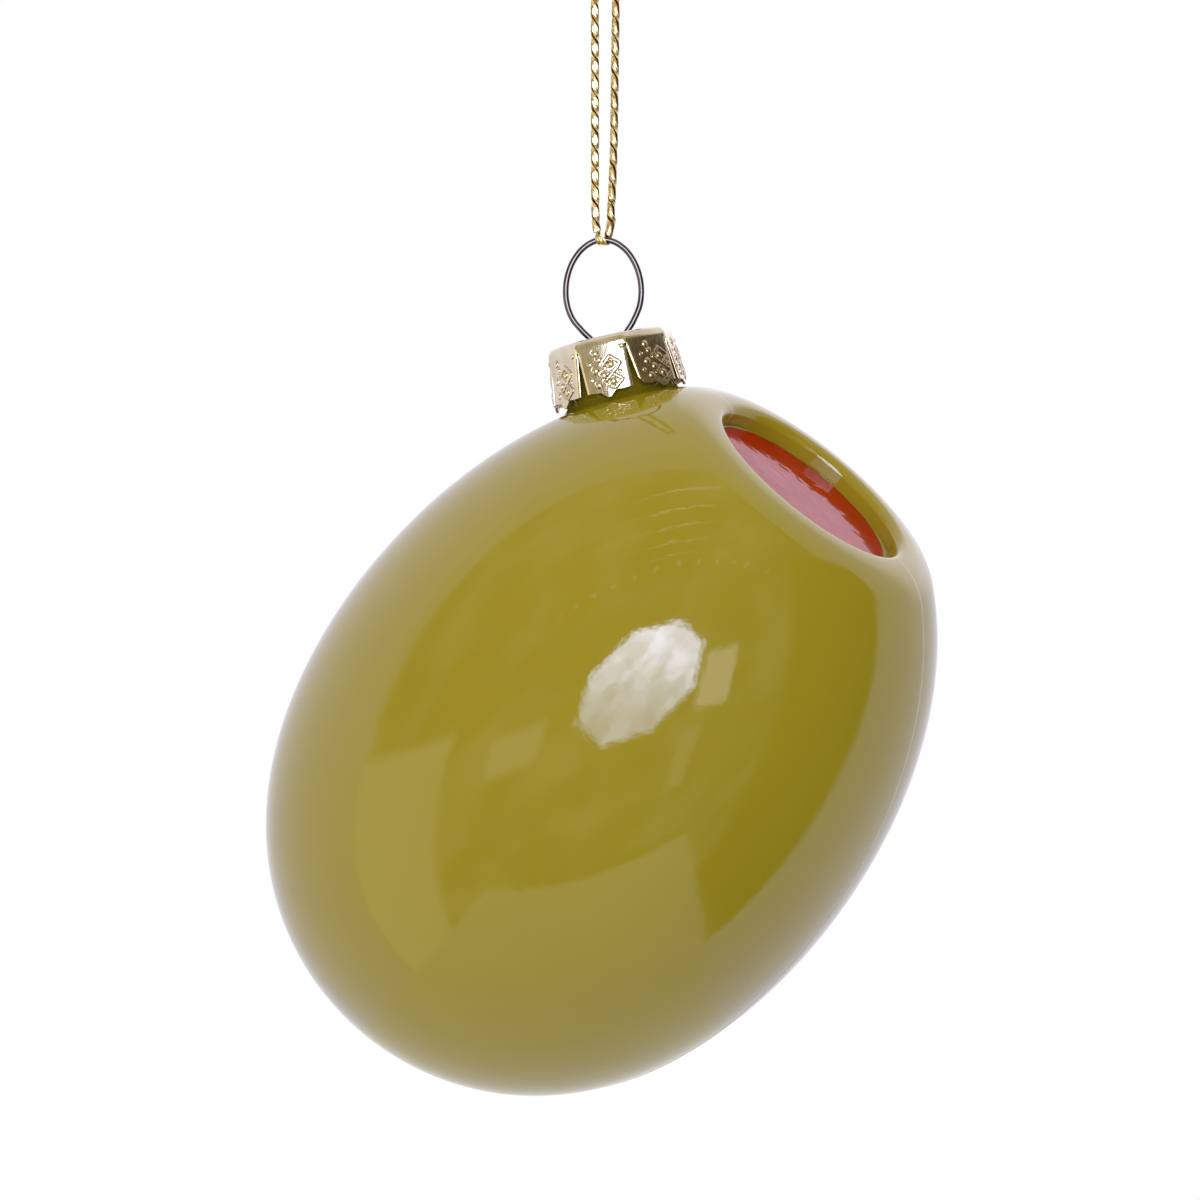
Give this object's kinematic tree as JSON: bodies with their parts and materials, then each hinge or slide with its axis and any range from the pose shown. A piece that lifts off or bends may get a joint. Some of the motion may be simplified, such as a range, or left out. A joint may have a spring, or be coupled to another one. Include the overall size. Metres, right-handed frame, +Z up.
{
  "type": "hanging ornament",
  "caption": "Hollow glass stuffed-olive ornament with a red-faced recess, a stamped crown cap, a sprung wire hanger and a gold cord loop to hang it from.",
  "frame": {"origin": "in the eye of the cord loop just under its knot, where a hook holds the ornament", "axes": "+Z up, along the hanging cord; -Y is the front, the side the picture shows; the open pit end of the olive leans to +X and a little to -Y"},
  "size_m": [0.078, 0.0711, 0.1468],
  "materials": {
    "olive_glass": "opaque olive green lacquer on blown glass, high gloss",
    "red_enamel": "opaque red enamel on glass, high gloss, brushed on by hand",
    "cap_metal": "thin stamped sheet, pale gold, bright with soft brushing",
    "hanger_steel": "bright drawn spring wire",
    "gold_cord": "twisted metallic gold thread"
  },
  "bodies": {
    "knot": {"cord_knot": "gold_cord"},
    "cord": {"hanging_cord": "gold_cord"},
    "hanger": {"hanger_wire": "hanger_steel"},
    "cap": {"cap_crown": "cap_metal"},
    "glass": {"olive_shell": "olive_glass", "pimento": "red_enamel"}
  },
  "joints": [
    {"name": "cord_twist", "type": "hinge", "parent": "knot", "child": "cord", "pos_m": [0, 0, 0], "axis": [0, 0, 1], "range_deg": [-180, 180]},
    {"name": "ring_swing", "type": "hinge", "parent": "cord", "child": "hanger", "pos_m": [0, 0, -0.036], "axis": [1, 0, 0], "range_deg": [-90, 90]},
    {"name": "cap_tilt", "type": "hinge", "parent": "hanger", "child": "cap", "pos_m": [0.00073, 0, -0.048], "axis": [0.9781, 0, 0.2079], "range_deg": [-12, 12]},
    {"name": "glass_pull", "type": "slide", "parent": "cap", "child": "glass", "axis": [0.2077, -0.0436, -0.9772], "range_m": [0, 0.02]}
  ]
}
